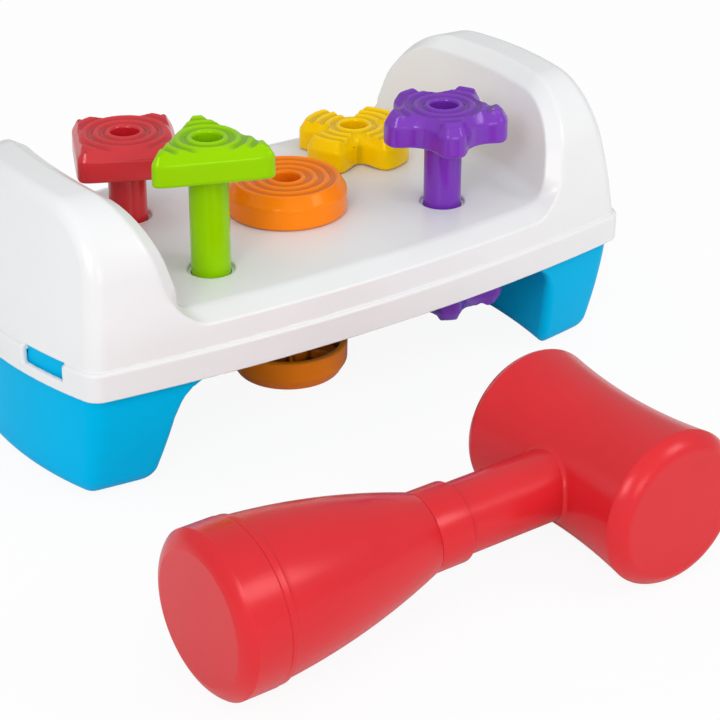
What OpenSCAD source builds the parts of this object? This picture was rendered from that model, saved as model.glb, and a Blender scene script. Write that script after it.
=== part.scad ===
// Peg pounding bench: a moulded bench on two legs, five double-ended pegs that slide and
// turn through its deck, and a mallet that lies in front. Millimetres, +Z up, floor at z = 0.
// The origin is the middle of the bench on the floor, and X runs along the bench.

/* [Bench] */
// length over the bowed ends of the flange
bench_len = 330; // [322:1:350]
// width over the bowed sides of the flange
bench_wid = 174; // [168:1:186]
// height of the deck above the floor
deck_h = 88; // [84:0.5:96]
// bow radius of the long sides in plan
side_bow_r = 930; // [800:10:1400]
// bow radius of the ends in plan
end_bow_r = 232; // [210:2:300]
// corner radius of the flange in plan
corner_r = 10; // [7:0.5:14]
// height of the flange band
flange_h = 14; // [12:0.5:18]
// depth of the flange top below the deck
flange_drop = 15.5; // [14:0.5:17]
// how far the flange stands out from the faces above it
flange_step = 2.5; // [1.5:0.1:3]
// moulded wall thickness
wall_t = 2.6; // [2:0.1:3]
// depth from the deck to the underside of the lower plate
sandwich = 22.4; // [21.5:0.1:24]

/* [End walls] */
// height of the end walls above the deck
wall_rise = 53.5; // [46:0.5:64]
// distance between the end walls at deck level
tray_len = 226; // [222:1:234]
// bow radius of the inner wall faces in plan
tray_bow_r = 256; // [230:2:400]
// outward lean of the inner wall faces, degrees
tray_lean = 10; // [8:1:16]
// fillet between deck and end wall
tray_r = 9; // [6:0.5:10]
// corner radius of an end wall seen from the end
arch_r = 28; // [20:1:32]
// radius along the outer top edge of an end wall
crown_r = 6; // [4:0.5:10]

/* [Legs] */
// how much shorter than the lower plate the feet end, at each end
foot_in_x = 4; // [3:0.5:10]
// how much narrower than the lower plate the feet are, on each side
foot_in_y = 17; // [11:0.5:20]
// distance between the two feet at the floor
leg_gap = 240; // [236:1:250]
// lean of the inner leg faces, degrees
leg_lean = 12; // [8:0.5:13]
// bevel round the bottom of the feet
foot_bevel = 5; // [3:0.5:7]

/* [Pegs] */
// distance between peg axes along the bench
peg_pitch_x = 135; // [132:0.5:138]
// distance between peg axes across the bench
peg_pitch_y = 74.5; // [72:0.5:78]
// reach of the disc and cross heads from their axes
head_reach = 30; // [27:0.5:31]
// height of a head
head_h = 16.5; // [15:0.25:18]
// upright band of a head, below its sloped edge
head_band = 10.5; // [9:0.25:11]
// outside diameter of a stem
stem_d = 18.5; // [17:0.25:19]
// bore of a stem and hole in a head
stem_bore = 13.5; // [11.5:0.25:14]
// peg holes in the deck and in the lower plate
hole_d = 21.25; // [20.5:0.25:23]
// how far each peg stands up, as a share of its stroke
raise_triangle = 1; // [0:0.01:1]
raise_star = 0.7; // [0:0.01:1]
raise_square = 0.56; // [0:0.01:1]
raise_cross = 0; // [0:0.01:1]
raise_disc = 0; // [0:0.01:1]

/* [Mallet] */
// place of the middle of the mallet head
mallet_x = 20; // [0:1:40]
mallet_y = -212; // [-240:1:-200]
// length and rim diameter of the mallet head
mallet_head_len = 104.5; // [96:0.5:110]
mallet_rim_d = 72; // [66:1:76]
// waist diameter of the mallet head
mallet_waist_d = 65; // [60:0.5:66]
// from the middle of the head to the end of the cap
mallet_len = 207; // [194:1:220]
// shaft diameter
mallet_shaft_d = 32; // [28:0.5:34]

/* [Hidden] */
$fn = 64;

// clearances
fit = 0.05;
stop_gap = 0.2;
seat_gap = 0.3;
floor_gap = 0.3;
eps = 1;

// flange and shells
half_len = bench_len / 2;
half_wid = bench_wid / 2;
flange_top = deck_h - flange_drop;
flange_bottom = flange_top - flange_h;
flange_t = wall_t + 0.6;
shoulder_z = flange_top - 3;
body_corner_r = corner_r + 8;
wall_top = deck_h + wall_rise;
end_turn_z = deck_h + wall_rise * 0.37;
end_in_turn = flange_step + 4.7;
end_in_top = flange_step + 13.9;
arch_lean = 0.225;
arch_crown = 2.5;
arch_crown_r = 300;
arch_half = half_wid - flange_step - pow(tray_len / 2 + 10, 2) / (2 * side_bow_r);
revolve_fn = 240;

// lower plate, skirt and snap tabs
plate_t = 2.4;
plate_inset = flange_t + seat_gap;
plate_bottom = deck_h - sandwich;
plate_top = plate_bottom + plate_t;
skirt_t = 2.2;
tab_y = 42.3;
tab_w = 26.6;
tab_bottom = flange_top - 8.5;
tab_recess = flange_t - 0.6;

// legs
foot_half_len = half_len - plate_inset - foot_in_x;
foot_half_wid = half_wid - plate_inset - foot_in_y;
leg_fillet_r = 6;
leg_round_r = 14;
apron_bottom = flange_bottom - 1.5;
apron_fillet_r = 12;
apron_out = plate_inset + 3;
apron_in = plate_inset + 7;
lap = 0.3;
leg_foot_x = leg_gap / 2;
leg_plate_x = leg_foot_x - plate_bottom * tan(leg_lean);
leg_apron_x = leg_foot_x - apron_bottom * tan(leg_lean);
leg_taper = (half_wid - plate_inset) / foot_half_wid;
leg_axis_x = (leg_taper * foot_half_len - half_len + plate_inset) / (leg_taper - 1);
bevel_axis_x = foot_half_len - foot_half_wid;
bevel_taper = 1 + plate_top / (foot_half_wid - foot_bevel);

// pegs
peg_gap = deck_h - head_h - floor_gap + stop_gap;
stroke = peg_gap - sandwich - 2 * stop_gap;
peg_x = peg_pitch_x / 2;
peg_y = peg_pitch_y / 2;
places = [[-peg_x, -peg_y], [peg_x, -peg_y], [-peg_x, peg_y], [peg_x, peg_y], [0, 0]];
raises = [raise_triangle, raise_star, raise_square, raise_cross, raise_disc];
turns = [68, 26, 19, 20, 0];
colours = [[0.57, 0.8, 0.06], [0.43, 0.16, 0.66], [0.84, 0.17, 0.21], [0.96, 0.8, 0.02], [0.96, 0.5, 0.1]];
head_slope_k = 0.87;
cavity_k = 0.9;
cavity_h = head_band;
rib_t = 1.8;
rib_rim = 4;
socket_h = head_h - 3;
hub_d = stem_d + 4.4;
groove_r = 1.5;
groove_first = head_reach * 0.37;
groove_pitch = head_reach * 0.183;
head_points_n = 96;
side_power = 14;
triangle_cap = head_reach * 1.097;
triangle_in = head_reach * 0.607;
square_cap = head_reach * 1.22;
square_in = head_reach * 0.827;
star_reach = head_reach * 1.043;
star_valley = head_reach * 0.705;
cross_valley = head_reach * 0.51;

// grip rings and their seats
ring_h = 9;
ring_d = hub_d + 7;
ring_bottom = plate_top + stop_gap;
ring_top = ring_bottom + ring_h;
seat_t = 2.4;
seat_h = ring_h - 2;

// mallet
rim_r = mallet_rim_d / 2;
waist_r = mallet_waist_d / 2;
shaft_r = mallet_shaft_d / 2;
mallet_wall = 3;
face_r = rim_r * 0.8;
rim_back = 7;
socket_end = 10;
collar_start = mallet_len * 0.4;
collar_len = 17;
collar_r = shaft_r + 2;
grip_start = collar_start + collar_len;
bead_len = 3.5;
cap_len = 20.5;
cap_start = mallet_len - cap_len;
grip_end = cap_start - bead_len;
grip_r0 = collar_r + 0.6;
grip_r1 = rim_r - 1.2;
bead_r = rim_r - 0.3;
grip_bulge = 0.65;
cap_edge = 5.5;
cap_face_r = rim_r * 0.78;
spigot_len = 8;

// points of an arc
function arc(c, r, a0, a1, n) =
    [for (i = [0:n]) c + r * [cos(a0 + (a1 - a0) * i / n), sin(a0 + (a1 - a0) * i / n)]];

// one rounded corner of an outline
function fillet(a, p, b, r, n) = r <= 0 ? [p] :
    let (u = (a - p) / norm(a - p))
    let (v = (b - p) / norm(b - p))
    let (half = acos(u * v) / 2)
    let (c = p + (u + v) / norm(u + v) * r / sin(half))
    let (s = p + u * r / tan(half) - c)
    let (e = p + v * r / tan(half) - c)
    let (a0 = atan2(s[1], s[0]))
    let (turn = (atan2(e[1], e[0]) - a0 + 540) % 360 - 180)
    arc(c, r, a0, a0 + turn, n);

// an outline with a radius at each corner
function rounded(pts, radii, n = 6) =
    [for (i = [0:len(pts) - 1])
        each fillet(pts[(i + len(pts) - 1) % len(pts)], pts[i], pts[(i + 1) % len(pts)], radii[i], n)];

// a quarter of a rectangle with bowed sides and round corners, from the Y axis to the X axis
function bowed_quarter(hl, hw, rs, re, rc) =
    let (cs = [0, hw - rs])
    let (ce = [hl - re, 0])
    let (d = norm(ce - cs))
    let (e = (ce - cs) / d)
    let (k = (pow(rs - rc, 2) - pow(re - rc, 2) + d * d) / (2 * d))
    let (h = sqrt(pow(rs - rc, 2) - k * k))
    let (c = cs + k * e + h * [e[1], -e[0]])
    let (a1 = atan2(c[1] - cs[1], c[0] - cs[0]))
    let (a2 = atan2(c[1] - ce[1], c[0] - ce[0]))
    let (side = arc(cs, rs, 90, a1, 6))
    let (corner = arc(c, rc, a1, a2, 6))
    let (end = arc(ce, re, a2, 0, 5))
    concat(side, [for (i = [1:5]) corner[i]], end);

// the half of it with x above 0
function bowed_half(hl, hw, rs, re, rc) =
    let (q = bowed_quarter(hl, hw, rs, re, rc))
    concat(q, [for (i = [len(q) - 2:-1:0]) [q[i][0], -q[i][1]]]);

// the whole bowed rectangle
function bowed(hl, hw, rs, re, rc) =
    let (half = bowed_half(hl, hw, rs, re, rc))
    concat(half, [for (i = [1:len(half) - 2]) -half[i]]);

// flange outline, drawn in by d
function flange_plan(d) =
    bowed(half_len - d, half_wid - d, side_bow_r - d, end_bow_r - d, max(corner_r - d, 2));

// outline of the faces above the flange, drawn in by d
function body_plan(d) =
    let (s = flange_step + d)
    bowed(half_len - s, half_wid - s, side_bow_r - s, end_bow_r - s, body_corner_r - d);

// foot outline about the taper's axis, drawn in by d
function foot_plan(d) =
    let (s = plate_inset + d)
    [for (p = bowed_half(half_len - s, half_wid - s, side_bow_r - s, end_bow_r - s, max(corner_r - s, 2)))
        (p - [leg_axis_x, 0]) / leg_taper];

// the same about the bevel's axis
function bevel_plan(d) =
    [for (p = foot_plan(d + foot_bevel * leg_taper)) p + [leg_axis_x - bevel_axis_x, 0]];

// end view of the bench body
function arch_points(d) =
    let (wide = half_wid + eps)
    let (w = arch_half - d)
    let (top = wall_top - d)
    let (w_top = w - arch_lean * wall_rise)
    rounded([[-wide, 0], [-wide, deck_h - d], [-w, deck_h - d], [-w_top, top - arch_crown], [0, top],
            [w_top, top - arch_crown], [w, deck_h - d], [wide, deck_h - d], [wide, 0]],
        [0, 0, 0, arch_r - d, arch_crown_r, arch_r - d, 0, 0, 0]);

// half section of the bench body about the axis of an end's bow, drawn in by d
function end_points(d, low) =
    let (r = end_bow_r - d)
    let (top = wall_top - d + eps)
    rounded([[0, low], [r - flange_step + eps, low], [r - flange_step + eps, flange_top],
            [r - end_in_turn, end_turn_z], [r - end_in_top, top], [0, top]],
        [0, 0, 0, 0, crown_r - d, 0]);

// half section of the space between the end walls about the axis of an inner face's bow, grown by d
function tray_points(d) =
    let (x0 = tray_bow_r + d / cos(tray_lean))
    let (rise = wall_rise + 10)
    rounded([[0, deck_h - d], [x0 - d * tan(tray_lean), deck_h - d],
            [x0 + rise * tan(tray_lean), deck_h + rise], [0, deck_h + rise]],
        [0, tray_r + d, 0, 0]);

// front view of one leg
function leg_points() =
    rounded([[leg_plate_x - 14, plate_top], [leg_plate_x - 14, plate_bottom], [leg_plate_x, plate_bottom],
            [leg_foot_x, 0], [half_len + 10, 0], [half_len + 10, plate_top]],
        [0, 0, leg_fillet_r, leg_round_r, 0, 0]);

// front view of the gusset that runs from the apron into one leg
function gusset_points() =
    let (top = plate_bottom + plate_t / 2)
    let (inner = [leg_plate_x - 30, apron_bottom])
    let (bend = fillet(inner, [leg_apron_x + lap, apron_bottom], [leg_foot_x + lap, 0], apron_fillet_r, 6))
    let (last = bend[6])
    concat([[inner[0], top], inner], bend, [[last[0] + 10, last[1]], [last[0] + 10, top]]);

// front view of the hollow in one leg
function leg_hollow_points() =
    let (off = wall_t / cos(leg_lean))
    let (high = plate_top + eps)
    rounded([[leg_foot_x + off - high * tan(leg_lean), high],
            [leg_foot_x + off - wall_t * tan(leg_lean), wall_t],
            [half_len + 10, wall_t], [half_len + 10, high]],
        [0, leg_round_r - wall_t, 0, 0]);

// distance from the axis to the edge of a head with flat sides
function flat_sided(n, inner, cap, a) =
    let (sides = [for (i = [0:n - 1]) pow(max(0, cos(a - (i + 0.5) * 360 / n)) * cap / inner, side_power)])
    cap * pow(sides * [for (i = [0:n - 1]) 1] + 1, -1 / side_power);

// distance from the axis to the edge of a head with lobes
function lobed(n, reach, valley, spread, power, a) =
    let (off = (a + 180 / n) % (360 / n) - 180 / n)
    valley + (reach - valley) / (1 + pow(abs(off) / spread, power));

// edge of head number i at angle a
function head_r(i, a) =
    i == 0 ? flat_sided(3, triangle_in, triangle_cap, a) :
    i == 1 ? lobed(5, star_reach, star_valley, 16.5, 4, a) :
    i == 2 ? flat_sided(4, square_in, square_cap, a) :
    i == 3 ? lobed(4, head_reach, cross_valley, 29.5, 7.5, a) : head_reach;

// outline of head number i, scaled by k
function head_points(i, k) =
    [for (j = [0:head_points_n - 1])
        let (a = j * 360 / head_points_n)
        k * head_r(i, a) * [cos(a), sin(a)]];

// radius of the mallet's waisted head at t from -1 to 1
function waist(t) = waist_r + (rim_r - waist_r) * t * t;

// an outline in Y and Z, drawn out along X
module along_x(pts, length) {
    rotate([90, 0, 90])
        linear_extrude(length, center = true)
            polygon(pts);
}

// an outline in X and Z, drawn out along Y
module along_y(pts, length) {
    rotate([90, 0, 0])
        linear_extrude(length, center = true)
            polygon(pts);
}

// what a half section sweeps about an upright axis on each end's side of the bench, both at once
module swept_twice(x, pts) {
    intersection_for (side = [0, 1]) {
        mirror([side, 0, 0])
            translate([x, 0, 0])
                rotate_extrude($fn = revolve_fn)
                    polygon(pts);
    }
}

// bench body, drawn in by d on every side
module bench_body(d, low) {
    difference() {
        intersection() {
            translate([0, 0, low])
                linear_extrude(wall_top + eps - low)
                    polygon(body_plan(d));
            along_x(arch_points(d), bench_len + 10);
            swept_twice(half_len - end_bow_r, end_points(d, low - eps));
        }
        swept_twice(tray_len / 2 - tray_bow_r, tray_points(d));
    }
}

// one solid at each peg place
module at_pegs() {
    for (p = places) {
        translate([p[0], p[1], 0])
            children();
    }
}

// a stretch of a band that follows the bench ends, at each tab place
module tab_band(outer, inner, width) {
    intersection() {
        difference() {
            polygon(flange_plan(outer));
            polygon(flange_plan(inner));
        }
        for (x = [-1, 1], y = [-1, 1]) {
            translate([x * half_len, y * tab_y])
                square([half_len / 2, width], center = true);
        }
    }
}

module upper_shell() {
    color([0.91, 0.9, 0.9])
        difference() {
            union() {
                difference() {
                    union() {
                        bench_body(0, flange_bottom);
                        translate([0, 0, flange_bottom])
                            linear_extrude(flange_h)
                                polygon(flange_plan(0));
                    }
                    bench_body(wall_t, flange_bottom - eps);
                    translate([0, 0, flange_bottom - eps])
                        linear_extrude(shoulder_z - flange_bottom + eps)
                            polygon(flange_plan(flange_t));
                }
                at_pegs()
                    translate([0, 0, ring_top + stop_gap])
                        cylinder(h = deck_h - wall_t / 2 - ring_top - stop_gap, d = ring_d);
            }
            at_pegs()
                translate([0, 0, plate_top])
                    cylinder(h = sandwich + eps, d = hole_d);
            translate([0, 0, tab_bottom])
                linear_extrude(flange_top - tab_bottom)
                    tab_band(-eps, plate_inset + skirt_t + seat_gap, tab_w);
        }
}

// right leg, drawn in by d: the taper, the bevel round the bottom and the front view
module leg(d, pts) {
    intersection() {
        translate([leg_axis_x, 0, d])
            linear_extrude(plate_top, scale = leg_taper)
                polygon(foot_plan(d));
        translate([bevel_axis_x, 0, d])
            linear_extrude(plate_top, scale = bevel_taper)
                polygon(bevel_plan(d));
        along_y(pts, bench_wid + 10);
    }
}

// both legs
module leg_pair(d, pts) {
    leg(d, pts);
    mirror([1, 0, 0])
        leg(d, pts);
}

// apron under the edge of the plate, with a gusset at each leg
module apron() {
    difference() {
        union() {
            translate([0, 0, apron_bottom])
                linear_extrude(plate_bottom + plate_t / 2 - apron_bottom)
                    polygon(flange_plan(apron_out));
            leg_pair(lap, gusset_points());
        }
        translate([0, 0, -eps])
            linear_extrude(plate_bottom + eps)
                polygon(flange_plan(apron_in));
    }
}

module lower_shell() {
    color([0, 0.69, 0.88])
        difference() {
            union() {
                translate([0, 0, plate_bottom])
                    linear_extrude(plate_t)
                        polygon(flange_plan(plate_inset));
                translate([0, 0, plate_bottom])
                    linear_extrude(shoulder_z - plate_bottom)
                        difference() {
                            polygon(flange_plan(plate_inset));
                            polygon(flange_plan(plate_inset + skirt_t));
                        }
                translate([0, 0, tab_bottom + seat_gap])
                    linear_extrude(flange_top - tab_bottom - 2 * seat_gap)
                        tab_band(tab_recess, plate_inset + skirt_t, tab_w - 2 * seat_gap);
                leg_pair(0, leg_points());
                apron();
                at_pegs()
                    translate([0, 0, plate_bottom])
                        cylinder(h = plate_t + seat_h, d = ring_d + 2 * (fit + seat_t));
            }
            leg_pair(wall_t, leg_hollow_points());
            at_pegs()
                translate([0, 0, plate_top])
                    cylinder(h = ring_h, r = ring_d / 2 + fit);
            at_pegs()
                translate([0, 0, plate_bottom - eps])
                    cylinder(h = sandwich, d = hole_d);
        }
}

module grip_ring(i) {
    color([0.25, 0.25, 0.27])
        translate([places[i][0], places[i][1], ring_bottom])
            difference() {
                cylinder(h = ring_h, d = ring_d);
                translate([0, 0, -eps])
                    cylinder(h = ring_h + 2 * eps, r = stem_d / 2 + fit);
            }
}

// moves a peg from the deck to its place, turned and raised
module peg_place(i) {
    translate([places[i][0], places[i][1], deck_h + stop_gap + raises[i] * stroke])
        rotate([0, 0, turns[i]])
            children();
}

module stem(i) {
    length = peg_gap + 2 * (socket_h - fit);
    color(colours[i])
        peg_place(i)
            translate([0, 0, socket_h - fit - length])
                difference() {
                    cylinder(h = length, d = stem_d);
                    translate([0, 0, -eps])
                        cylinder(h = length + 2 * eps, d = stem_bore);
                }
}

// outer form of a head, rim down at z = 0
module head_form(i) {
    slope_h = head_h - head_band;
    if (i == 4) {
        cylinder(h = head_band, r = head_reach);
        translate([0, 0, head_band])
            cylinder(h = slope_h, r1 = head_reach, r2 = head_reach * head_slope_k);
    } else {
        linear_extrude(head_band)
            polygon(head_points(i, 1));
        translate([0, 0, head_band])
            linear_extrude(slope_h, scale = head_slope_k)
                polygon(head_points(i, 1));
    }
}

// hollow of a head, with its hub and ribs left standing
module head_hollow(i) {
    difference() {
        translate([0, 0, -eps])
            linear_extrude(cavity_h + eps)
                polygon(head_points(i, cavity_k));
        cylinder(h = head_h, d = hub_d);
        for (a = [0:60:120]) {
            rotate([0, 0, a])
                translate([-head_reach, -rib_t / 2, rib_rim])
                    cube([2 * head_reach, rib_t, head_h]);
        }
    }
}

module head(i) {
    difference() {
        head_form(i);
        head_hollow(i);
        translate([0, 0, -eps])
            cylinder(h = socket_h + eps, r = stem_d / 2 + fit);
        cylinder(h = head_h + eps, d = stem_bore);
        for (i = [0:2]) {
            translate([0, 0, head_h])
                rotate_extrude()
                    translate([groove_first + i * groove_pitch, 0])
                        circle(r = groove_r, $fn = 24);
        }
    }
}

module top_head(i) {
    color(colours[i])
        peg_place(i)
            head(i);
}

module bottom_head(i) {
    color(colours[i])
        peg_place(i)
            translate([0, 0, -peg_gap])
                mirror([0, 0, 1])
                    head(i);
}

// half outline of the mallet head, drawn in by d
function mallet_head_points(d) =
    let (h = mallet_head_len / 2 - d)
    let (back = h - rim_back)
    let (edge = [for (a = [0:15:90]) [face_r - d + (rim_r - face_r) * sin(a), -h + rim_back * (1 - cos(a))]])
    let (side = [for (i = [-7:7]) [waist(i / 8) - d, back * i / 8]])
    concat([[0, -h]], edge, side, [for (i = [len(edge) - 1:-1:0]) [edge[i][0], -edge[i][1]]], [[0, h]]);

// puts a solid that was turned about Z on the handle's axis, z = 0 at the head's middle
module on_handle() {
    translate([mallet_x, mallet_y, rim_r])
        rotate([0, -90, 0])
            children();
}

// the mallet head's turned form from an outline
module spool() {
    translate([mallet_x, mallet_y, rim_r])
        rotate([90, 0, 0])
            rotate_extrude()
                children();
}

module mallet_head() {
    color([0.84, 0.18, 0.2])
        difference() {
            union() {
                spool()
                    difference() {
                        polygon(mallet_head_points(0));
                        polygon(mallet_head_points(mallet_wall));
                    }
                intersection() {
                    spool()
                        polygon(mallet_head_points(mallet_wall / 2));
                    on_handle()
                        translate([0, 0, socket_end - mallet_wall])
                            cylinder(h = rim_r, r = shaft_r + mallet_wall);
                }
            }
            on_handle()
                translate([0, 0, socket_end])
                    cylinder(h = rim_r, r = shaft_r + fit);
        }
}

// radius of the grip at share t of its length
function grip_r(t) = grip_r0 + (grip_r1 - grip_r0) * t * (1 + grip_bulge * (1 - t));

// outer line of the handle from the head to the grip's mouth, drawn in by d
function handle_line(d, from) =
    concat([[shaft_r - d, from], [shaft_r - d, collar_start], [collar_r - d, collar_start],
            [collar_r - d, grip_start]],
        [for (i = [0:10]) [grip_r(i / 10) - d, grip_start + (grip_end - grip_start) * i / 10]]);

module mallet_handle() {
    mouth_r = grip_r1 - mallet_wall;
    color([0.84, 0.18, 0.2])
        on_handle()
            rotate_extrude()
                difference() {
                    polygon(concat([[0, socket_end + fit]], handle_line(0, socket_end + fit),
                        [[bead_r, grip_end], [bead_r, cap_start], [0, cap_start]]));
                    polygon(concat([[0, socket_end + mallet_wall]], handle_line(mallet_wall, socket_end + mallet_wall),
                        [[mouth_r, cap_start + eps], [0, cap_start + eps]]));
                    translate([0, cap_start - spigot_len - fit])
                        square([mouth_r, spigot_len + fit + eps]);
                }
}

module mallet_cap() {
    spigot_r = grip_r1 - mallet_wall - fit;
    color([0.84, 0.18, 0.2])
        on_handle()
            rotate_extrude()
                difference() {
                    polygon(concat([[0, cap_start - spigot_len], [spigot_r, cap_start - spigot_len],
                            [spigot_r, cap_start], [rim_r, cap_start]],
                        [for (a = [0:15:90])
                            [rim_r - (rim_r - cap_face_r) * (1 - cos(a)), mallet_len - cap_edge * (1 - sin(a))]],
                        [[0, mallet_len]]));
                    translate([0, cap_start - spigot_len - eps])
                        square([spigot_r - mallet_wall, cap_len + spigot_len + eps - mallet_wall]);
                }
}

upper_shell();
lower_shell();
grip_ring(0);  // ring_triangle
grip_ring(1);  // ring_star
grip_ring(2);  // ring_square
grip_ring(3);  // ring_cross
grip_ring(4);  // ring_disc
stem(0);  // stem_triangle
stem(1);  // stem_star
stem(2);  // stem_square
stem(3);  // stem_cross
stem(4);  // stem_disc
top_head(0);  // top_head_triangle
top_head(1);  // top_head_star
top_head(2);  // top_head_square
top_head(3);  // top_head_cross
top_head(4);  // top_head_disc
bottom_head(0);  // bottom_head_triangle
bottom_head(1);  // bottom_head_star
bottom_head(2);  // bottom_head_square
bottom_head(3);  // bottom_head_cross
bottom_head(4);  // bottom_head_disc
mallet_head();
mallet_handle();
mallet_cap();
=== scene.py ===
import math

import bpy
import numpy as np
from mathutils import Matrix, Vector


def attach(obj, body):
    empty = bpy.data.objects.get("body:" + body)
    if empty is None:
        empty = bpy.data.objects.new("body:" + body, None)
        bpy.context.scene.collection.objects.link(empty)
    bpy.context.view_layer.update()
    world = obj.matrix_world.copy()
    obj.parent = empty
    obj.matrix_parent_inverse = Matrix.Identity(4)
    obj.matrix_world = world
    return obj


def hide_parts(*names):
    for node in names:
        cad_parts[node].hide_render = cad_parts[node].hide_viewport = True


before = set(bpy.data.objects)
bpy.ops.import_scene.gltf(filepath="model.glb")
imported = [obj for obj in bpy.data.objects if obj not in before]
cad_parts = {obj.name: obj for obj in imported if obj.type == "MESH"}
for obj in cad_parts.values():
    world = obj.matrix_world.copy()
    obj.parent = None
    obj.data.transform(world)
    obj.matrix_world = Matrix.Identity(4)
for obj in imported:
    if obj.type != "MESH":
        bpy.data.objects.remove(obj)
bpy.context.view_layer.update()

MM = 0.001

# Sizes of the bench in millimetres, in the frame of the solids
DECK_Z = 88.0
HALF_LEN, HALF_WID = 165.0, 87.0
SIDE_BOW, END_BOW, CORNER_R, LEAST_CORNER_R = 930.0, 232.0, 10.0, 2.0
FLANGE_LOW, FLANGE_TOP = 58.5, 72.5
FLANGE_T, SHOULDER_Z, CORE_T = 3.2, 69.5, 4.5
PLATE_LOW, PLATE_TOP, PLATE_INSET = 65.6, 68.0, 3.5
WINDOW_Y, WINDOW_HALF, WINDOW_LOW = 42.3, 13.3, 64.0
END_ZONE = 130.0
HOLE_R = 10.8
FIT = 0.05
SHAPES = ("triangle", "star", "square", "cross", "disc")
PLACES = ((-67.5, -37.25), (67.5, -37.25), (-67.5, 37.25), (67.5, 37.25), (0.0, 0.0))


# Fields: negative inside a form, positive outside
def round_max(a, b, r):
    """Intersection of two fields with its edge rounded to radius r."""
    return np.minimum(-r, np.maximum(a, b)) + np.hypot(np.maximum(a + r, 0), np.maximum(b + r, 0))


def round_min(a, b, r):
    """Union of two fields with a fillet of radius r."""
    return np.maximum(r, np.minimum(a, b)) - np.hypot(np.maximum(r - a, 0), np.maximum(r - b, 0))


def bowed(x, y, half_len, half_wid, side_r, end_r, corner_r):
    """Distance to a rectangle with bowed sides and round corners."""
    x, y = np.abs(x), np.abs(y)
    side_c = np.array([0.0, half_wid - side_r])
    end_c = np.array([half_len - end_r, 0.0])
    apart = np.linalg.norm(end_c - side_c)
    along = (end_c - side_c) / apart
    k = ((side_r - corner_r) ** 2 - (end_r - corner_r) ** 2 + apart * apart) / (2 * apart)
    h = math.sqrt((side_r - corner_r) ** 2 - k * k)
    corner_c = side_c + k * along + h * np.array([along[1], -along[0]])
    from_side = (corner_c - side_c) / np.linalg.norm(corner_c - side_c)
    from_end = (corner_c - end_c) / np.linalg.norm(corner_c - end_c)
    vx, vy = x - corner_c[0], y - corner_c[1]
    corner = (from_end[0] * vy - from_end[1] * vx >= 0) & (vx * from_side[1] - vy * from_side[0] >= 0)
    sides = np.maximum(np.hypot(x, y - side_c[1]) - side_r, np.hypot(x - end_c[0], y) - end_r)
    return np.where(corner, np.hypot(vx, vy) - corner_r, sides)


def flange_plan(x, y, inset=0.0):
    """Distance to the flange outline, drawn in by an inset."""
    corner = max(CORNER_R - inset, LEAST_CORNER_R)
    return bowed(x, y, HALF_LEN - inset, HALF_WID - inset, SIDE_BOW - inset, END_BOW - inset, corner)


def nearest_hole(x, y):
    """Distance to the wall of the nearest peg hole."""
    return np.minimum.reduce([np.hypot(x - px, y - py) for px, py in PLACES]) - HOLE_R


# Meshes from fields
CELL_CORNERS = [(i, j, k) for i in (0, 1) for j in (0, 1) for k in (0, 1)]


def gradient(field, p, eps=0.04):
    """Gradient of a field at points."""
    g = np.empty_like(p)
    for i in range(3):
        a, b = p.copy(), p.copy()
        a[:, i] += eps
        b[:, i] -= eps
        g[:, i] = (field(*a.T) - field(*b.T)) / (2 * eps)
    return g


def cell_points(f, cells):
    """Mean of the points where the surface cuts the edges of each cell, counted in cells."""
    total = np.zeros((len(cells), 3))
    hits = np.zeros(len(cells))
    for corner in CELL_CORNERS:
        for axis in range(3):
            if corner[axis]:
                continue
            far = list(corner)
            far[axis] = 1
            f0 = f[tuple((cells + corner).T)]
            f1 = f[tuple((cells + far).T)]
            cut = (f0 < 0) != (f1 < 0)
            at = np.tile(np.array(corner, float), (len(cells), 1))
            at[:, axis] = np.where(cut, f0 / np.where(cut, f0 - f1, 1), 0)
            total += at * cut[:, None]
            hits += cut
    return cells + total / hits[:, None]


def cell_quads(solid, index):
    """Quads that join the four cells round each grid edge that the surface cuts."""
    quads = []
    for axis in range(3):
        u, v = (axis + 1) % 3, (axis + 2) % 3
        near = [slice(None)] * 3
        far = [slice(None)] * 3
        near[axis], far[axis] = slice(0, -1), slice(1, None)
        first = solid[tuple(near)]
        edges = np.argwhere(first != solid[tuple(far)])
        inner = np.all([(edges[:, a] > 0) & (edges[:, a] < index.shape[a]) for a in (u, v)], axis=0)
        edges = edges[inner]
        ring = []
        for du, dv in ((-1, -1), (0, -1), (0, 0), (-1, 0)):
            cell = edges.copy()
            cell[:, u] += du
            cell[:, v] += dv
            ring.append(index[tuple(cell.T)])
        ring = np.stack(ring, 1)
        flip = ~first[tuple(edges.T)]
        ring[flip] = ring[flip][:, ::-1]
        quads.append(ring)
    return np.concatenate(quads)


def surface(field, low, high, step):
    """Points, quads and normals of the zero surface of a field, with the points moved onto it."""
    step = np.broadcast_to(np.asarray(step, float), 3)
    axes = [np.arange(a, b + d, d) for a, b, d in zip(low, high, step)]
    f = field(*np.meshgrid(*axes, indexing="ij"))
    solid = f < 0
    n = [len(a) - 1 for a in axes]
    count = np.zeros(n, np.int8)
    for i, j, k in CELL_CORNERS:
        count += solid[i:i + n[0], j:j + n[1], k:k + n[2]]
    cells = np.argwhere((count > 0) & (count < 8))
    index = np.full(n, -1, np.int64)
    index[tuple(cells.T)] = np.arange(len(cells))
    p = cell_points(f, cells) * step + np.array(low, float)
    reach = 0.5 * step.max()
    for _ in range(4):
        g = gradient(field, p)
        move = field(*p.T) / np.maximum((g * g).sum(1), 0.05)
        p -= g * np.clip(move, -reach, reach)[:, None]
    g = gradient(field, p)
    normals = g / np.maximum(np.linalg.norm(g, axis=1), 1e-6)[:, None]
    return p, cell_quads(solid, index), normals


# Turned meshes
CREASE, CAP_CREASE = 38, 20


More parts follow.
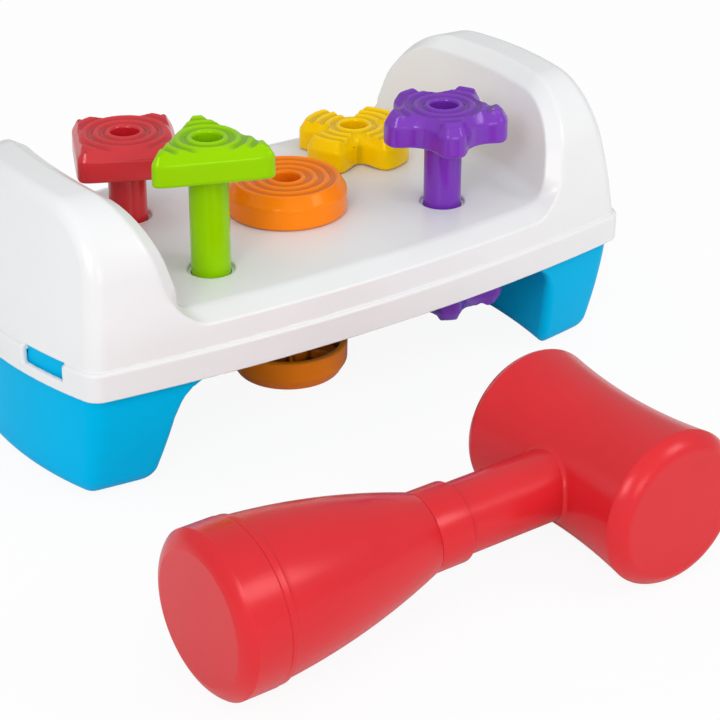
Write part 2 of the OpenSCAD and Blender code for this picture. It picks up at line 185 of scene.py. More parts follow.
def lathe(loop, segments):
    """Closed mesh turned about Z from a closed loop of (radius, z), run with the solid on its left."""
    points, faces, rings = [], [], []
    for r, h in loop:
        if r < 1e-6:
            rings.append([len(points)] * segments)
            points.append((0, 0, h))
            continue
        rings.append(list(range(len(points), len(points) + segments)))
        for i in range(segments):
            a = 2 * math.pi * i / segments
            points.append((r * math.cos(a), r * math.sin(a), h))
    for j, a in enumerate(rings):
        b = rings[(j + 1) % len(rings)]
        if a[0] == a[1] and b[0] == b[1]:
            continue
        for i in range(segments):
            k = (i + 1) % segments
            quad = [a[i], a[k], b[k], b[i]]
            faces.append([v for m, v in enumerate(quad) if v not in quad[:m]])
    return np.array(points), faces


def rounded(corners, steps=6):
    """Closed loop of (radius, z) from corners given as (radius, z, rounding)."""
    points = [np.array(corner[:2], float) for corner in corners]
    loop = []
    for i, p in enumerate(points):
        r = corners[i][2]
        if r <= 0:
            loop.append(p)
            continue
        before, after = points[i - 1], points[(i + 1) % len(points)]
        u = (before - p) / np.linalg.norm(before - p)
        v = (after - p) / np.linalg.norm(after - p)
        half = math.acos(np.clip(u @ v, -1, 1)) / 2
        centre = p + (u + v) / np.linalg.norm(u + v) * r / math.sin(half)
        start = p + u * r / math.tan(half) - centre
        end = p + v * r / math.tan(half) - centre
        a0 = math.atan2(start[1], start[0])
        turn = (math.atan2(end[1], end[0]) - a0 + 3 * math.pi) % (2 * math.pi) - math.pi
        for k in range(steps + 1):
            a = a0 + turn * k / steps
            loop.append(centre + r * np.array([math.cos(a), math.sin(a)]))
    return loop


def shoulder(r0, h0, r1, h1, spread):
    """Centre and radius of the arc from (r0, h0) to (r1, h1) that turns by twice the spread in degrees."""
    chord = math.hypot(r1 - r0, h1 - h0)
    radius = chord / (2 * math.sin(math.radians(spread)))
    back = radius * math.cos(math.radians(spread))
    return (r0 + r1) / 2 - (h1 - h0) / chord * back, (h0 + h1) / 2 + (r1 - r0) / chord * back, radius


def turned(points, degrees, at=(0, 0, 0)):
    """Points turned about Z and moved."""
    c, s = math.cos(math.radians(degrees)), math.sin(math.radians(degrees))
    return points @ np.array([[c, s, 0], [-s, c, 0], [0, 0, 1]]) + np.array(at)


# Objects
def add_object(name, points, faces, normals=None):
    """A smooth mesh object from points in millimetres, with its own normals if given."""
    mesh = bpy.data.meshes.new(name)
    mesh.from_pydata((points * MM).tolist(), [], faces if normals is None else faces.tolist())
    mesh.validate()
    mesh.shade_smooth()
    if normals is not None:
        mesh.normals_split_custom_set_from_vertices(normals.tolist())
    obj = bpy.data.objects.new(name, mesh)
    bpy.context.scene.collection.objects.link(obj)
    return obj


def add_turned(name, points, faces, degrees=CREASE):
    """A turned mesh object whose shading breaks at edges sharper than an angle."""
    obj = add_object(name, points, faces)
    obj.data.set_sharp_from_angle(angle=math.radians(degrees))
    return obj


def finish_piece(obj, material, body, slot, *nodes):
    """Material, body and replaced nodes of a piece; the slot argument is not used."""
    obj.data.materials.append(material)
    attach(obj, body)
    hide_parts(*nodes)


# Plastic: noise per metre, height of the grain in metres, spread of the gloss, and the reach and start of
# the painted shade in grooves
CLOUD_SCALE, CLOUD_DETAIL, CLOUD_LOW, CLOUD_HIGH = 24.0, 3.0, 0.3, 0.7
GRAIN_SCALE, GRAIN_DETAIL, GRAIN_HEIGHT = 1400.0, 2.0, 0.00005
GLOSS_LESS, GLOSS_MORE = 0.04, 0.05
PAINTED_SHADE_REACH, PAINTED_SHADE_FROM = 0.003, 0.65


def linear(r, g, b):
    """Linear colour from screen values of 0 to 255."""
    return [((c / 255 + 0.055) / 1.055) ** 2.4 if c > 10 else c / 255 / 12.92 for c in (r, g, b)]


def noise(nodes, links, coord, scale, detail):
    """Noise in an object's own space."""
    node = nodes.new("ShaderNodeTexNoise")
    node.inputs["Scale"].default_value = scale
    node.inputs["Detail"].default_value = detail
    links.new(coord.outputs["Object"], node.inputs["Vector"])
    return node.outputs["Fac"]


def map_range(nodes, links, value, low, high, start=0.0):
    """A value that runs from start to 1, spread from low to high."""
    node = nodes.new("ShaderNodeMapRange")
    node.inputs["From Min"].default_value = start
    node.inputs["To Min"].default_value = low
    node.inputs["To Max"].default_value = high
    links.new(value, node.inputs["Value"])
    return node.outputs["Result"]


def painted_groove_shade(nodes, links, colour, painted_shade_share):
    """A colour with painted shade: scaled down towards the given share where ambient occlusion finds
    grooves and hollows.
    """
    hollow = nodes.new("ShaderNodeAmbientOcclusion")
    hollow.only_local = True
    hollow.inputs["Distance"].default_value = PAINTED_SHADE_REACH
    darker = nodes.new("ShaderNodeVectorMath")
    darker.operation = "SCALE"
    links.new(colour, darker.inputs[0])
    # Painted shade: the share of the colour that is kept falls with the ambient occlusion
    shade = map_range(nodes, links, hollow.outputs["AO"], painted_shade_share, 1.0, PAINTED_SHADE_FROM)
    links.new(shade, darker.inputs["Scale"])
    return darker.outputs[0]


def plastic(name, colour, rough=0.24, grain=0.06, tone=0.03, sheen=0.5, tint=0.0, painted_shade_share=1.0):
    """Moulded plastic: faint cloudiness, fine moulded grain, an uneven satin gloss and, below a share of
    1, painted shade in its grooves.
    """
    mat = bpy.data.materials.new(name)
    mat.use_nodes = True
    nodes, links = mat.node_tree.nodes, mat.node_tree.links
    bsdf = nodes["Principled BSDF"]
    coord = nodes.new("ShaderNodeTexCoord")
    cloud = noise(nodes, links, coord, CLOUD_SCALE, CLOUD_DETAIL)
    ramp = nodes.new("ShaderNodeValToRGB")
    stops = ramp.color_ramp.elements
    stops[0].position = CLOUD_LOW
    stops[1].position = CLOUD_HIGH
    stops[0].color = [c * (1 - tone) for c in colour] + [1]
    stops[1].color = [min(1, c * (1 + tone)) for c in colour] + [1]
    links.new(cloud, ramp.inputs["Fac"])
    shown = ramp.outputs["Color"]
    # Painted shade: the colour darkens in grooves and hollows by ambient occlusion
    if painted_shade_share < 1:
        shown = painted_groove_shade(nodes, links, shown, painted_shade_share)
    links.new(shown, bsdf.inputs["Base Color"])
    gloss = map_range(nodes, links, cloud, rough - GLOSS_LESS, rough + GLOSS_MORE)
    links.new(gloss, bsdf.inputs["Roughness"])
    bump = nodes.new("ShaderNodeBump")
    bump.inputs["Strength"].default_value = grain
    bump.inputs["Distance"].default_value = GRAIN_HEIGHT
    links.new(noise(nodes, links, coord, GRAIN_SCALE, GRAIN_DETAIL), bump.inputs["Height"])
    links.new(bump.outputs["Normal"], bsdf.inputs["Normal"])
    bright = max(colour)
    bsdf.inputs["Specular IOR Level"].default_value = sheen
    bsdf.inputs["Specular Tint"].default_value = [1 + tint * (c / bright - 1) for c in colour] + [1]
    return mat


WHITE = plastic("shell_white_plastic", linear(230, 231, 232), tone=0.012, sheen=0.45)
BLUE = plastic("shell_blue_plastic", linear(0, 180, 230), rough=0.36, sheen=0.04, tint=1.0)
RED = plastic("mallet_red_plastic", linear(210, 34, 42), sheen=0.62, tint=0.55)
RUBBER = plastic("ring_grey_rubber", linear(62, 62, 66), rough=0.75, grain=0.3)

# Slot, colour and tint of the gloss of each peg
PEG_LOOKS = {
    "triangle": ("peg_green", linear(144, 202, 0), 0.9),
    "star": ("peg_purple", linear(118, 47, 178), 0.3),
    "square": ("peg_red", linear(208, 34, 44), 0.1),
    "cross": ("peg_yellow", linear(252, 206, 0), 0.9),
    "disc": ("peg_orange", linear(255, 134, 16), 0.8)}


def peg_plastic(slot, colour, tint):
    """Glossier plastic, with painted shade darkening the grooves of the peg heads."""
    return plastic(slot + "_plastic", colour, rough=0.16, sheen=0.55, tint=tint, painted_shade_share=0.3)


# Upper shell: outside, tray, crest of the walls, and edges; then the corners and step of its grid
STEP_IN, SIDE_LEAN, SIDE_RISE_LEAN, RISE_SOFT = 1.8, 0.1, 0.125, 8.0
END_LEAN, END_BEND = 0.13, 0.002
WALL_RISE, ARCH_DROP, ARCH_CORNER, END_EDGE = 53.4, 0.0006, 28.0, 5.5
TRAY_HALF, TRAY_LEAN, TRAY_BEND, TRAY_FILLET = 113.0, 0.175, 512.0, 7.0
RIM_W, RIM_DROP, RIM_EDGE = 10.7, 4.5, 0.8
CREST_W, CREST_DROP, CREST_THIN = 5.5, 9.1, 0.05
CREST_FROM, CREST_FULL = -2.0, 14.0
FLANGE_EDGE, FLANGE_FILLET, LOW_EDGE = 1.4, 0.5, 0.9
HOLE_EDGE, WINDOW_CORNER, WINDOW_EDGE = 1.2, 0.6, 1.1
UPPER_GRID = ((-167, -89, 56), (167, 89, 146), (1.15, 1.15, 0.75))


def upper_skin(x, y, z):
    """Outer form of the upper shell, open below."""
    d = z - DECK_Z
    ax, ay = np.abs(x), np.abs(y)
    low = np.maximum(z - FLANGE_TOP, 0)
    rise = (d + np.hypot(d, RISE_SOFT)) / 2
    side = np.hypot(ax, ay - HALF_WID + SIDE_BOW) - SIDE_BOW + STEP_IN
    side = side + SIDE_LEAN * low + SIDE_RISE_LEAN * rise
    end = np.hypot(ax - HALF_LEN + END_BOW, ay) - END_BOW + STEP_IN
    end = end + END_LEAN * low + END_BEND * rise * rise
    arch = round_max(side, d - WALL_RISE + ARCH_DROP * ay * ay, ARCH_CORNER)
    outer = round_max(arch, end, END_EDGE)
    wall = (TRAY_HALF + TRAY_LEAN * d - ay * ay / TRAY_BEND - ax) / math.hypot(1, TRAY_LEAN)
    tray = round_min(d, wall, TRAY_FILLET)
    up = np.clip((d - CREST_FROM) / (CREST_FULL - CREST_FROM), 0, 1)
    up = up * up * (3 - 2 * up)
    width = RIM_W + (CREST_W - RIM_W) * up
    drop = RIM_DROP + (CREST_DROP - RIM_DROP) * up - CREST_THIN * np.maximum(d - CREST_FULL, 0)
    bevel = (tray * width + (arch + width) * drop) / np.hypot(width, drop)
    body = round_max(round_max(outer, tray, RIM_EDGE), bevel, RIM_EDGE)
    flange = round_max(flange_plan(x, y), z - FLANGE_TOP, FLANGE_EDGE)
    return round_min(body, flange, FLANGE_FILLET)


def upper_shell(x, y, z):
    """Hollow upper shell with its peg holes and snap windows."""
    skin = upper_skin(x, y, z)
    below = np.maximum(flange_plan(x, y, FLANGE_T), z - SHOULDER_Z)
    shell = np.maximum(skin, -np.minimum(below, skin + CORE_T))
    shell = round_max(shell, FLANGE_LOW - z, LOW_EDGE)
    shell = round_max(shell, -nearest_hole(x, y), HOLE_EDGE)
    across = np.abs(np.abs(y) - WINDOW_Y) - WINDOW_HALF
    height = np.abs(z - (WINDOW_LOW + FLANGE_TOP) / 2) - (FLANGE_TOP - WINDOW_LOW) / 2
    window = np.maximum(round_max(across, height, WINDOW_CORNER), END_ZONE - np.abs(x))
    return round_max(shell, -window, WINDOW_EDGE)


piece = add_object("vis_upper_shell", *surface(upper_shell, *UPPER_GRID))
finish_piece(piece, WHITE, "bench", "shell_white", "upper_shell")

# Lower shell: legs, apron, edges and snap tabs; then the corners and step of its grid
LEG_AXIS, FOOT_SHRINK, FOOT_CURVE, TAPER_LIMIT = 141.9, 0.215, 1.6, 1.1
LEG_FOOT, LEG_BEND, LEG_TAN = 121.8, 560.0, math.tan(math.radians(6.5))
LEG_CORNER_R, TAPER_EASE = 11.0, 0.97
APRON_LOW, APRON_T, APRON_FILLET, PLATE_FILLET = 57.0, 4.5, 12.0, 3.5
LEG_EDGE, LEG_EDGE_MORE, LEG_EDGE_FROM, LEG_EDGE_RUN = 1.2, 4.3, 54.0, 16.0
FOOT_EDGE, HOLLOW_EDGE, PLATE_HOLE_EDGE = 10.0, 6.0, 0.5
TAB_IN, TAB_T, TAB_OVER, TAB_UNDER, TAB_ABOVE = 3.3, 3.0, 0.7, 1.0, 0.4
LOWER_GRID = ((-164, -86, -2), (164, 86, 75), (1.2, 1.2, 1.0))


def lower_shell(x, y, z):
    """Lower shell: plate, apron, two hollow legs and snap tabs."""
    ax, ay = np.abs(x), np.abs(y)
    taper = 1 - FOOT_SHRINK * np.clip(1 - z / PLATE_TOP, 0, TAPER_LIMIT) ** FOOT_CURVE
    px, py = (ax - LEG_AXIS) / taper + LEG_AXIS, ay / taper
    half_len, half_wid = HALF_LEN - PLATE_INSET, HALF_WID - PLATE_INSET
    side_r, end_r = SIDE_BOW - PLATE_INSET, END_BOW - PLATE_INSET
    plan = bowed(px, py, half_len, half_wid, side_r, end_r, LEG_CORNER_R) * taper * TAPER_EASE
    inner = (LEG_FOOT - ay * ay / LEG_BEND - z * LEG_TAN - ax) / math.hypot(1, LEG_TAN)
    apron = np.maximum(round_min(inner, APRON_LOW - z, APRON_FILLET), -plan - APRON_T)
    under = np.minimum(round_min(inner, PLATE_LOW - z, PLATE_FILLET), apron)
    edge = LEG_EDGE + LEG_EDGE_MORE * np.clip((LEG_EDGE_FROM - z) / LEG_EDGE_RUN, 0, 1)
    body = round_max(round_max(plan, under, edge), -z, FOOT_EDGE)
    hollow = round_max(plan + CORE_T, inner + CORE_T, HOLLOW_EDGE)
    hollow = round_max(hollow, CORE_T - z, HOLLOW_EDGE)
    body = np.maximum.reduce([body, z - PLATE_TOP, -hollow])
    tab = np.maximum.reduce([
        np.abs(flange_plan(x, y) + TAB_IN + TAB_T / 2) - TAB_T / 2,
        np.abs(ay - WINDOW_Y) - WINDOW_HALF - TAB_OVER,
        WINDOW_LOW - TAB_UNDER - z, z - FLANGE_TOP - TAB_ABOVE, END_ZONE - ax])
    return round_max(np.minimum(body, tab), -nearest_hole(x, y), PLATE_HOLE_EDGE)


piece = add_object("vis_lower_shell", *surface(lower_shell, *LOWER_GRID))
finish_piece(piece, BLUE, "bench", "shell_blue", "lower_shell")

# Step just inside each deck hole
STEP_R, STEP_SEAT_R, STEP_TOP, STEP_LOW = 9.5, HOLE_R + 0.4, DECK_Z - 1.5, DECK_Z - 3.4
STEP_EDGE, STEP_LOW_EDGE = 0.5, 0.2
PEG_SEGMENTS = 96

step_points, step_faces = lathe(rounded([
    (STEP_R, STEP_LOW, STEP_LOW_EDGE), (STEP_SEAT_R, STEP_LOW, 0),
    (STEP_SEAT_R, STEP_TOP, 0), (STEP_R, STEP_TOP, STEP_EDGE)]), PEG_SEGMENTS)
for shape, place in zip(SHAPES, PLACES):
    piece = add_turned("vis_hole_step_" + shape, step_points + np.array((*place, 0)), step_faces)
    finish_piece(piece, WHITE, "bench", "shell_white", "upper_shell")

# Pegs: share of the stroke that each stands up, and its turn in degrees, in the order of SHAPES
RAISES = (1.0, 0.7, 0.56, 0.0, 0.0)
TURNS = (68.0, 26.0, 19.0, 20.0, 0.0)
STROKE, PEG_GAP, STOP_GAP = 48.6, 71.4, 0.2
REACH, HEAD_H, HEAD_BAND = 30.0, 16.5, 10.5
STEM_R, STEM_BORE_R, STEM_IN, STEM_EDGE = 9.25, 6.7, 0.4, 0.6

# Peg heads: outlines, edges, ridges on top, and the hollow with its hub and ribs
FLAT_POWER = 14
TRIANGLE_IN, TRIANGLE_REACH = 18.2, 32.9
SQUARE_IN, SQUARE_REACH = 24.8, 36.6
STAR_REACH, STAR_VALLEY, STAR_SPREAD, STAR_POWER = 31.3, 21.15, 16.5, 4
CROSS_VALLEY, CROSS_SPREAD, CROSS_POWER = 15.3, 29.5, 7.5
SLOPE_IN, DRAFT, SLOPE_EDGE, TOP_EDGE, LIP_EDGE = 3.5, 0.02, 0.45, 0.4, 1.5
RIDGE_AT, RIDGE_PITCH, RIDGE_DEPTH, RIDGE_EASE = 8.1, 5.8, 1.5, 0.85
CAVITY_SHARE, CAVITY_EDGE, BORE_EDGE = 0.9, 0.5, 0.9
HUB_R, SOCKET_ROOF = 11.45, 3.0
SOCKET_H = HEAD_H - SOCKET_ROOF
RIB_HALF, RIB_LOW, RIB_TURNS = 0.9, 4.0, (0, 60, 120)
HEAD_GRID, HEAD_STEP = REACH + 4.5, 0.62
ANGLES_PER_DEGREE = 4


def flat_sided(a, n, inner, reach):
    """Reach at angle a of n flat sides with blunt corners."""
    total = 1.0
    for i in range(n):
        facing = np.maximum(0, np.cos(np.radians(a - (i + 0.5) * 360 / n)))
        total = total + (facing * reach / inner) ** FLAT_POWER
    return reach * total ** (-1 / FLAT_POWER)


def lobed(a, n, reach, valley, spread, power):
    """Reach at angle a of n lobes."""
    off = (a + 180 / n) % (360 / n) - 180 / n
    return valley + (reach - valley) / (1 + (np.abs(off) / spread) ** power)


def outline(shape, a):
    """Reach of a head at angle a in degrees, with a corner or lobe at 0."""
    if shape == "triangle":
        return flat_sided(a, 3, TRIANGLE_IN, TRIANGLE_REACH)
    if shape == "square":
        return flat_sided(a, 4, SQUARE_IN, SQUARE_REACH)
    if shape == "star":
        return lobed(a, 5, STAR_REACH, STAR_VALLEY, STAR_SPREAD, STAR_POWER)
    if shape == "cross":
        return lobed(a, 4, REACH, CROSS_VALLEY, CROSS_SPREAD, CROSS_POWER)
    return np.full_like(a, REACH)


def head_field(shape):
    """Field of a head that stands on z = 0 with its rim down."""
    angles = np.linspace(0, 360, 360 * ANGLES_PER_DEGREE + 1)
    reach = outline(shape, angles)
    tilt = np.gradient(reach, np.radians(angles)) / reach
    cosine = 1 / np.sqrt(1 + tilt * tilt)
    slant = SLOPE_IN / (HEAD_H - HEAD_BAND)

    def field(x, y, z):
        rho = np.hypot(x, y)
        a = np.degrees(np.arctan2(y, x)) % 360
        r = np.interp(a, angles, reach)
        c = np.interp(a, angles, cosine)
        band = (rho - r + DRAFT * z) * c
        slope = (band + slant * (z - HEAD_BAND)) / math.hypot(1, slant)
        body = round_max(band, slope, SLOPE_EDGE)
        wave = RIDGE_DEPTH * np.sin(math.pi * (rho - RIDGE_AT) / RIDGE_PITCH) ** 2
        body = round_max(body, (z - HEAD_H + wave) * RIDGE_EASE, TOP_EDGE)
        body = round_max(body, -z, LIP_EDGE)
        body = round_max(body, STEM_BORE_R + FIT - rho, BORE_EDGE)
        rib = np.full_like(rho, np.inf)
        for t in np.radians(RIB_TURNS):
            across = np.abs(x * math.sin(t) - y * math.cos(t))
            rib = np.minimum(rib, np.maximum(across - RIB_HALF, RIB_LOW - z))
        hollow = np.maximum.reduce([(rho - r * CAVITY_SHARE) * c, z - HEAD_BAND, HUB_R - rho, -rib])
        body = round_max(body, -hollow, CAVITY_EDGE)
        return np.maximum(body, -np.maximum(rho - STEM_R - FIT, z - SOCKET_H))
    return field


FLIP = np.array([1.0, 1.0, -1.0])
STEM_LEN = PEG_GAP + 2 * (SOCKET_H + STEM_IN)
stem_points, stem_faces = lathe(rounded([
    (STEM_BORE_R, 0, 0), (STEM_R, 0, STEM_EDGE),
    (STEM_R, STEM_LEN, STEM_EDGE), (STEM_BORE_R, STEM_LEN, 0)]), PEG_SEGMENTS)


def add_peg(shape, place, up, turn):
    """Two heads and a stem, and the rubber of the grip ring."""
    slot, colour, tint = PEG_LOOKS[shape]
    mat = peg_plastic(slot, colour, tint)
    body = shape + "_peg"
    base = DECK_Z + STOP_GAP + up * STROKE
    low, high = (-HEAD_GRID, -HEAD_GRID, -1), (HEAD_GRID, HEAD_GRID, HEAD_H + 1)
    p, q, n = surface(head_field(shape), low, high, HEAD_STEP)
    at = turned(p, turn, (*place, base))
    top = add_object("vis_top_head_" + shape, at, q, turned(n, turn))
    finish_piece(top, mat, body, slot, "top_head_" + shape)
    at = turned(p * FLIP, turn, (*place, base - PEG_GAP))
    bottom = add_object("vis_bottom_head_" + shape, at, q[:, ::-1], turned(n * FLIP, turn))
    finish_piece(bottom, mat, body, slot, "bottom_head_" + shape)
    at = turned(stem_points, turn, (*place, base + SOCKET_H + STEM_IN - STEM_LEN))
    stem = add_turned("vis_stem_" + shape, at, stem_faces)
    finish_piece(stem, mat, body, slot, "stem_" + shape)
    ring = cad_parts["ring_" + shape]
    ring.data.materials.clear()
    ring.data.materials.append(RUBBER)


for shape, place, up, turn in zip(SHAPES, PLACES, RAISES, TURNS):
    add_peg(shape, place, up, turn)

# Mallet head: its middle, its waist and shoulders, the socket and the fillet round the shaft
MALLET_AT = np.array([20.0, -212.0, 36.0])
HEAD_HALF, RIM_R, FACE_R, WAIST_R, RIM_T = 52.25, 36.0, 29.6, 32.5, 45.2
HEAD_SPREAD, FACE_EDGE = 22, 0.5
SHAFT_R, SOCKET_END = 16.0, 10.0
FILLET_R, FILLET_REACH, SLEEVE_IN, MOUTH_IN = 2.0, 2.5, 0.2, 2.2
MALLET_GRID, MALLET_STEP = np.array([38.0, 54.0, 38.0]), 0.8
HEAD_EDGE_R, HEAD_EDGE_T, HEAD_EDGE_RADIUS = shoulder(RIM_R, RIM_T, FACE_R, HEAD_HALF, HEAD_SPREAD)


def mallet_head(x, y, z):
    """Waisted head with a shoulder at each face, and a socket with a filleted mouth."""
    t = np.abs(y - MALLET_AT[1])
    out = MALLET_AT[0] - x
    up = z - MALLET_AT[2]
    rho = np.hypot(out, up)
    side = rho - (WAIST_R + (RIM_R - WAIST_R) * (t / RIM_T) ** 2)
    past_r, past_t = rho - HEAD_EDGE_R, t - HEAD_EDGE_T
    on_arc = (past_r > 0) & (past_t > 0)
    edge = np.where(on_arc, np.hypot(past_r, past_t), np.maximum(past_r, past_t)) - HEAD_EDGE_RADIUS
    body = round_max(np.maximum(side, edge), t - HEAD_HALF, FACE_EDGE)
    shaft = np.hypot(y - MALLET_AT[1], up) - SHAFT_R
    sleeve = np.maximum.reduce([shaft + SLEEVE_IN, body - FILLET_REACH, -out])
    body = round_min(body, sleeve, FILLET_R)
    bore = shaft + np.where(body < -FILLET_REACH, -FIT, MOUTH_IN)
    return np.maximum(body, -np.maximum(bore, SOCKET_END - out))


def on_handle(points):
    """Points of a turned mesh, laid along the handle."""
    x, y, z = points.T
    return np.stack([MALLET_AT[0] - z, MALLET_AT[1] + y, MALLET_AT[2] + x], 1)


mesh = surface(mallet_head, MALLET_AT - MALLET_GRID, MALLET_AT + MALLET_GRID, MALLET_STEP)
piece = add_object("vis_mallet_head", *mesh)
finish_piece(piece, RED, "mallet", "mallet_red", "mallet_head")

# Handle and cap: places along the handle from the middle of the head, and radii
HANDLE_AT, HANDLE_WALL, HANDLE_SEGMENTS = SOCKET_END + FIT, 3.0, 160
COLLAR_AT, COLLAR_END, COLLAR_R = 82.8, 99.8, 18.0
SEAM_R, SEAM_AT = COLLAR_R - 0.5, COLLAR_END + 0.3
GRIP_AT, GRIP_END, GRIP_STEPS = COLLAR_END + 0.6, 183.0, 32
GRIP_R0, GRIP_R1, GRIP_BULGE, BEAD_R = 18.4, 34.8, 0.65, 35.7
CAP_AT, CAP_RIM, CAP_END, SPIGOT_LEN = 186.5, 202.0, 207.0, 8.0
CAP_FACE_R, CAP_SPREAD, CAP_STEPS = 28.7, 19, 8
MOUTH_R, MOUTH_AT = GRIP_R1 - HANDLE_WALL, CAP_AT - SPIGOT_LEN - FIT

# Roundings of the handle and the cap, in the order of their outlines
SHAFT_EDGE, COLLAR_FILLET, COLLAR_EDGE, COLLAR_END_EDGE = 0.6, 0.5, 0.7, 0.5
GRIP_EDGE, BEAD_FILLET, BEAD_EDGE, BEAD_END_EDGE = 0.5, 0.4, 0.6, 0.4
SPIGOT_MOUTH_EDGE, SPIGOT_EDGE = 0.3, 0.6
CAP_BACK_EDGE, CAP_FACE_EDGE, CAP_FILLET = 0.5, 0.5, 1.0


def grip_point(t):
    """Radius and place of the grip at a share t of its length."""
    r = GRIP_R0 + (GRIP_R1 - GRIP_R0) * t * (1 + GRIP_BULGE * (1 - t))
    return r, GRIP_AT + (GRIP_END - GRIP_AT) * t


def handle_loop():
    """Outline of the hollow handle, from the end of the shaft to the mouth of the grip and back inside."""
    grip = [grip_point(i / GRIP_STEPS) for i in range(GRIP_STEPS + 1)]
    corners = [
        (SHAFT_R, HANDLE_AT, SHAFT_EDGE), (SHAFT_R, COLLAR_AT, COLLAR_FILLET),
        (COLLAR_R, COLLAR_AT, COLLAR_EDGE), (COLLAR_R, COLLAR_END, COLLAR_END_EDGE),
        (SEAM_R, SEAM_AT, 0), (*grip[0], GRIP_EDGE)]
    corners += [(r, h, 0) for r, h in grip[1:-1]]
    corners += [(*grip[-1], BEAD_FILLET), (BEAD_R, GRIP_END, BEAD_EDGE), (BEAD_R, CAP_AT, BEAD_END_EDGE)]
    corners += [(MOUTH_R, CAP_AT, 0), (MOUTH_R, MOUTH_AT, 0)]
    corners += [(r - HANDLE_WALL, h, 0) for r, h in grip[::-4] if h < MOUTH_AT]
    bore, end = SHAFT_R - HANDLE_WALL, SOCKET_END + HANDLE_WALL
    corners += [(bore, COLLAR_AT, 0), (bore, end, 0), (0, end, 0), (0, HANDLE_AT, 0)]
    return rounded(corners)


def cap_loop():
    """Outline of the cap with its spigot, its band and its shoulder."""
    spigot = MOUTH_R - FIT
    inside, low = spigot - HANDLE_WALL, CAP_AT - SPIGOT_LEN
    r0, h0, radius = shoulder(RIM_R, CAP_RIM, CAP_FACE_R, CAP_END, CAP_SPREAD)
    first = math.atan2(CAP_RIM - h0, RIM_R - r0)
    bend = first + np.radians(np.linspace(0, 2 * CAP_SPREAD, CAP_STEPS + 1))
    arc = [(r0 + radius * math.cos(a), h0 + radius * math.sin(a)) for a in bend]
    corners = [(inside, low, SPIGOT_MOUTH_EDGE), (spigot, low, SPIGOT_EDGE)]
    corners += [(spigot, CAP_AT + FIT, 0), (RIM_R, CAP_AT + FIT, CAP_BACK_EDGE)]
    corners += [(r, h, 0) for r, h in arc[:-1]]
    corners += [(*arc[-1], CAP_FACE_EDGE), (0, CAP_END, 0)]
    corners += [(0, CAP_END - HANDLE_WALL, 0), (inside, CAP_END - HANDLE_WALL, CAP_FILLET)]
    return rounded(corners)


points, faces = lathe(handle_loop(), HANDLE_SEGMENTS)
piece = add_turned("vis_mallet_handle", on_handle(points), faces)
finish_piece(piece, RED, "mallet", "mallet_red", "mallet_handle")

points, faces = lathe(cap_loop(), HANDLE_SEGMENTS)
piece = add_turned("vis_mallet_cap", on_handle(points), faces, CAP_CREASE)
finish_piece(piece, RED, "mallet", "mallet_red", "mallet_cap")

# Light: a wash that leans to the front and above, a floor that the camera sees near white, and lamps
WASH, WASH_LEAN, WASH_FROM = 0.6, 0.38, (-0.352, -0.553, 0.755)
FLOOR_SIZE, FLOOR_DROP, FLOOR_GREY, FLOOR_GLOW = 6.0, 0.0002, 0.86, 0.92
LAMP_AIM = Vector((0, -0.05, 0.05))


def mix_for_camera(nodes, links, share, plain, seen, output):
    """One shader for light and a share of another for what the camera sees."""
    path = nodes.new("ShaderNodeLightPath")
    part = nodes.new("ShaderNodeMath")
    part.operation = "MULTIPLY"
    part.inputs[1].default_value = share
    links.new(path.outputs["Is Camera Ray"], part.inputs[0])
    mix = nodes.new("ShaderNodeMixShader")
    links.new(part.outputs[0], mix.inputs[0])
    links.new(plain.outputs[0], mix.inputs[1])
    links.new(seen.outputs[0], mix.inputs[2])
    links.new(mix.outputs[0], output.inputs["Surface"])


def studio_world():
    """Wash of light that the camera sees as white."""
    world = bpy.data.worlds.new("studio")
    world.use_nodes = True
    nodes, links = world.node_tree.nodes, world.node_tree.links
    wash = nodes["Background"]
    wash.inputs["Color"].default_value = (1, 1, 1, 1)
    coord = nodes.new("ShaderNodeTexCoord")
    ahead = nodes.new("ShaderNodeVectorMath")
    ahead.operation = "DOT_PRODUCT"
    ahead.inputs[1].default_value = WASH_FROM
    links.new(coord.outputs["Generated"], ahead.inputs[0])
    level = map_range(nodes, links, ahead.outputs["Value"], WASH - WASH_LEAN, WASH + WASH_LEAN, -1.0)
    links.new(level, wash.inputs["Strength"])
    white = nodes.new("ShaderNodeBackground")
    white.inputs["Color"].default_value = (1, 1, 1, 1)
    white.inputs["Strength"].default_value = 1.0
    mix_for_camera(nodes, links, 1.0, wash, white, nodes["World Output"])
    return world


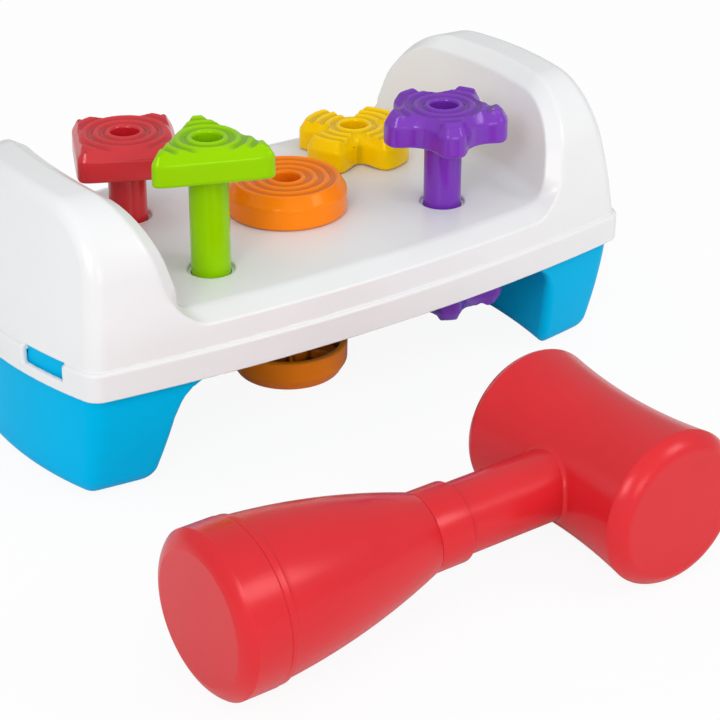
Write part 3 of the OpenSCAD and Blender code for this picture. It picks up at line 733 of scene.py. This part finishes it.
def floor_material():
    """Pale matt floor that keeps a soft shadow."""
    mat = bpy.data.materials.new("floor_white")
    mat.use_nodes = True
    nodes, links = mat.node_tree.nodes, mat.node_tree.links
    matt = nodes["Principled BSDF"]
    matt.inputs["Base Color"].default_value = (FLOOR_GREY, FLOOR_GREY, FLOOR_GREY, 1)
    matt.inputs["Roughness"].default_value = 0.9
    matt.inputs["Specular IOR Level"].default_value = 0.1
    glow = nodes.new("ShaderNodeEmission")
    glow.inputs["Strength"].default_value = 1.0
    mix_for_camera(nodes, links, FLOOR_GLOW, matt, glow, nodes["Material Output"])
    return mat


def softbox(name, at, size, power):
    """Square area lamp that looks at the bench, in metres and watts."""
    data = bpy.data.lights.new(name, "AREA")
    data.shape = "SQUARE"
    data.size = size
    data.energy = power
    obj = bpy.data.objects.new(name, data)
    scene.collection.objects.link(obj)
    obj.location = at
    obj.rotation_euler = (LAMP_AIM - Vector(at)).to_track_quat("-Z", "Y").to_euler()


scene = bpy.context.scene
scene.view_settings.view_transform = "Standard"
scene.world = studio_world()

bpy.ops.mesh.primitive_plane_add(size=FLOOR_SIZE, location=(0, 0, -FLOOR_DROP))
floor = bpy.context.object
floor.name = "floor"
floor.data.materials.append(floor_material())

softbox("right", (1.22, -1.91, 1.8), 0.9, 11.5)
softbox("left", (-2.08, -1.36, 1.44), 0.9, 15.5)
softbox("front", (-0.6, -2.4, 0.76), 0.7, 5)

# Camera: its place in millimetres, and its turn, tilt and roll in degrees
EYE = Vector((-559.29, -830.51, 523.66))
CAM_TURN, CAM_TILT, CAM_ROLL = -36.032, 62.543, 0.187
SENSOR, LENS = 36.0, 111.0
CLIP_START, CLIP_END = 0.05, 20.0

cam_data = bpy.data.cameras.new("camera")
cam_data.sensor_width = SENSOR
cam_data.lens = LENS
cam_data.clip_start = CLIP_START
cam_data.clip_end = CLIP_END
cam = bpy.data.objects.new("camera", cam_data)
scene.collection.objects.link(cam)
view = Matrix.Translation(EYE * MM)
for degrees, axis in ((CAM_TURN, "Z"), (CAM_TILT, "X"), (CAM_ROLL, "Z")):
    view = view @ Matrix.Rotation(math.radians(degrees), 4, axis)
cam.matrix_world = view
scene.camera = cam
